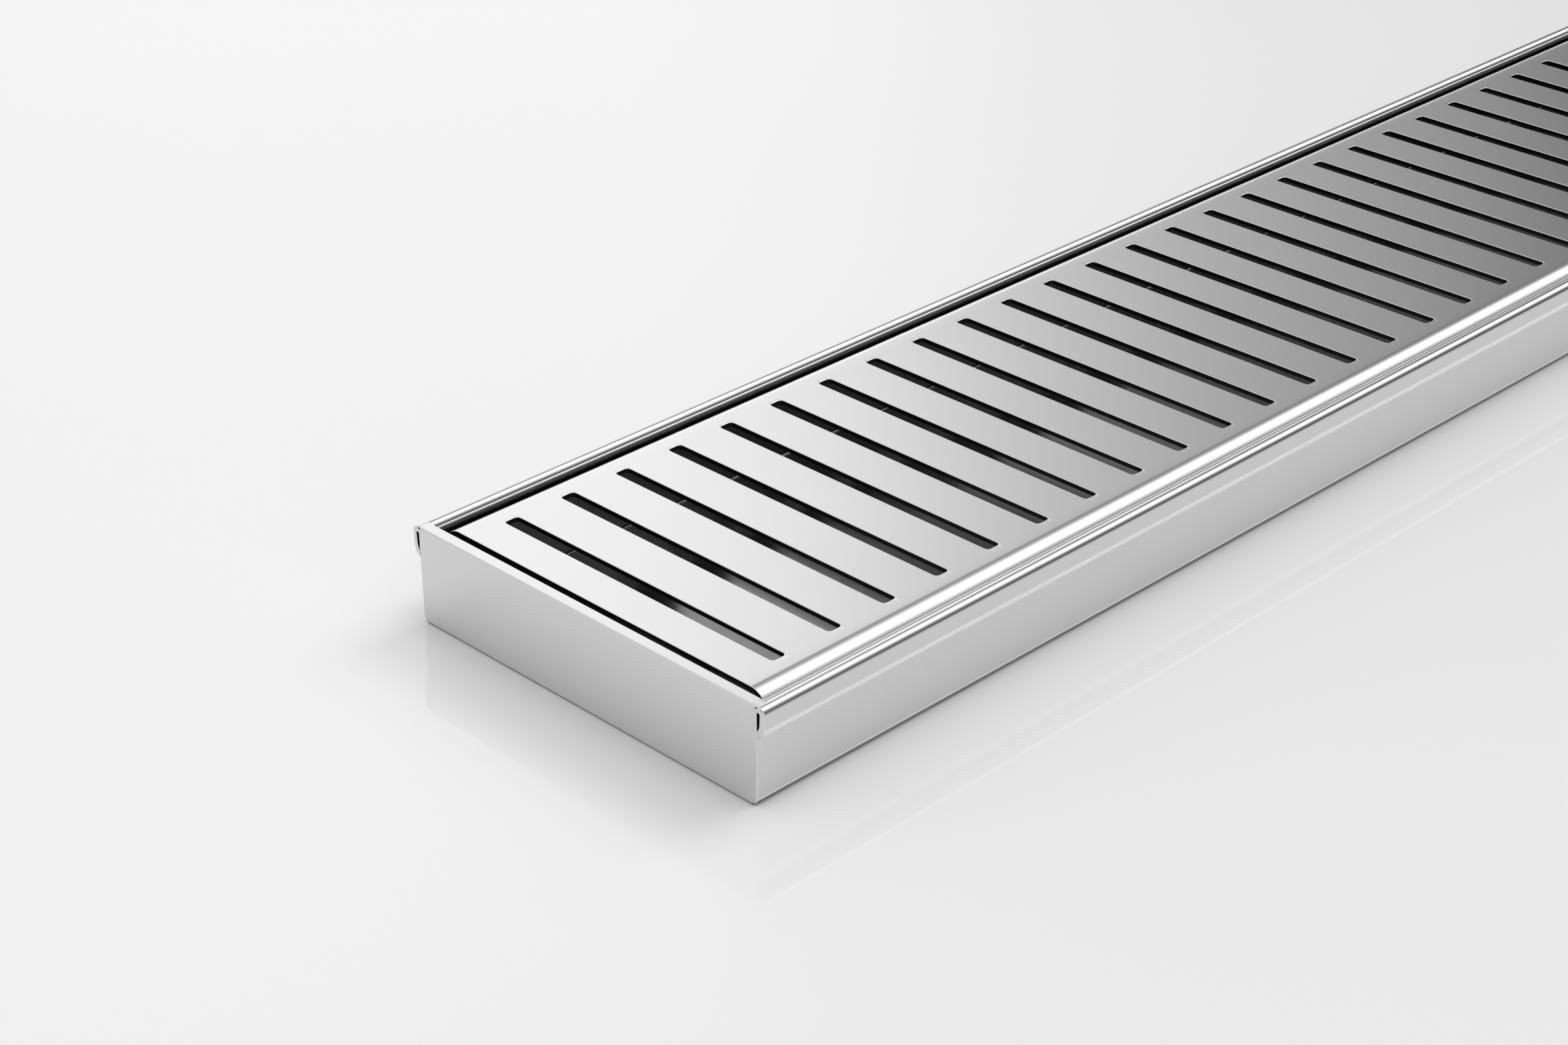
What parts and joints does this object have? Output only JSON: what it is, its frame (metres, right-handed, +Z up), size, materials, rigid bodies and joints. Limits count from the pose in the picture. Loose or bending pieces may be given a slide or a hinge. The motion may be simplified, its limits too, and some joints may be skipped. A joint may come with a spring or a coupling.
{
  "type": "linear shower drain",
  "caption": "Shallow folded channel with rolled long edges, welded end plates, a floor outlet under a domed strainer, and a drop-in folded grate with cross slots.",
  "frame": {"origin": "middle of the underside, on the outlet's axis", "axes": "+X along the drain, +Y across it, +Z up, out of the grate"},
  "size_m": [0.9, 0.105, 0.0228],
  "materials": {
    "channel_steel": "satin, brushed lengthwise",
    "grate_steel": "fine satin, brushed lengthwise",
    "bearer_steel": "mill finish",
    "strainer_steel": "pressed satin"
  },
  "bodies": {
    "root": {"channel": "channel_steel", "end_plate_left": "channel_steel", "end_plate_right": "channel_steel", "grate": "grate_steel", "grate_bearer_1": "bearer_steel", "grate_bearer_2": "bearer_steel", "grate_bearer_3": "bearer_steel", "grate_bearer_4": "bearer_steel", "outlet_strainer": "strainer_steel"}
  },
  "joints": []
}
